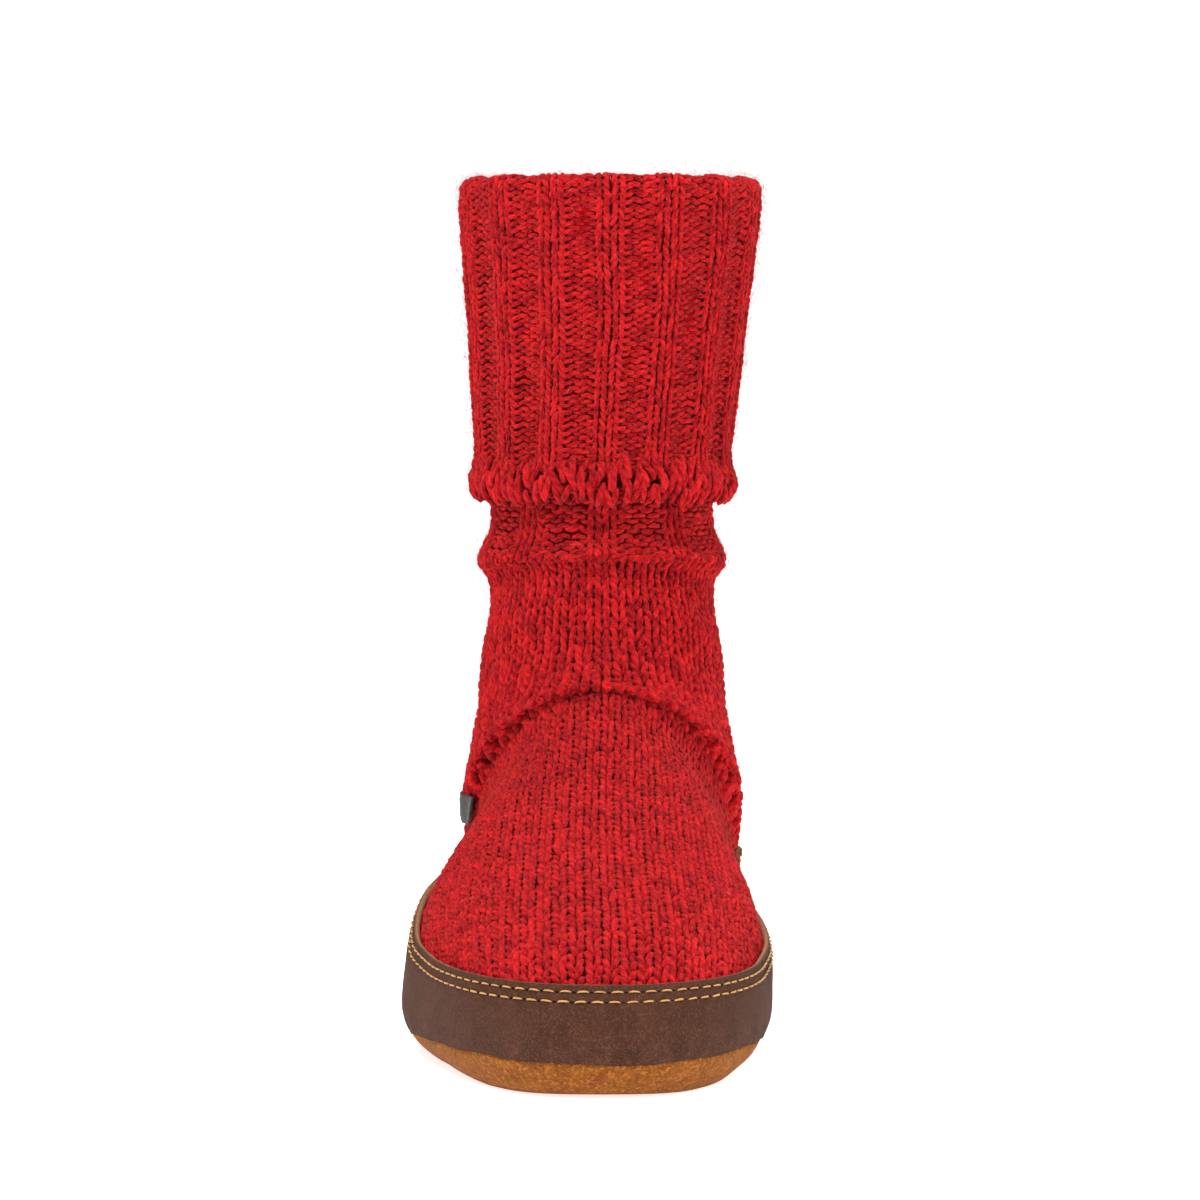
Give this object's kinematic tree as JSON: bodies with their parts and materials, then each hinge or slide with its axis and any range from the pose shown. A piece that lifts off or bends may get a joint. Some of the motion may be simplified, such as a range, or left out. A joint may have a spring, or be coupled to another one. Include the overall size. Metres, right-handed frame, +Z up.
{
  "type": "slipper sock",
  "caption": "Right slipper sock: knitted wool upper with a slack leg and turned-down ribbed cuff, leather band, soft suede sole and footbed.",
  "frame": {"origin": "middle of the bounding box on the ground plane under the sole", "axes": "+Z up, -Y toward the toe, +Y toward the heel, +X toward the inner (big toe) side"},
  "size_m": [0.1102, 0.268, 0.262],
  "materials": {
    "knit": "heathered red ragg wool, ribbed at the cuff, plain knit below, fuzzy",
    "band_leather": "dark brown nubuck, matte, double row of golden tan stitches",
    "suede": "tan suede with a soft nap",
    "footbed": "pale felted footbed",
    "woven_tag": "bare dark woven tape"
  },
  "bodies": {
    "root": {"upper": "knit", "sidewall": "band_leather", "outsole": "suede", "insole": "footbed", "side_label": "woven_tag"}
  },
  "joints": []
}
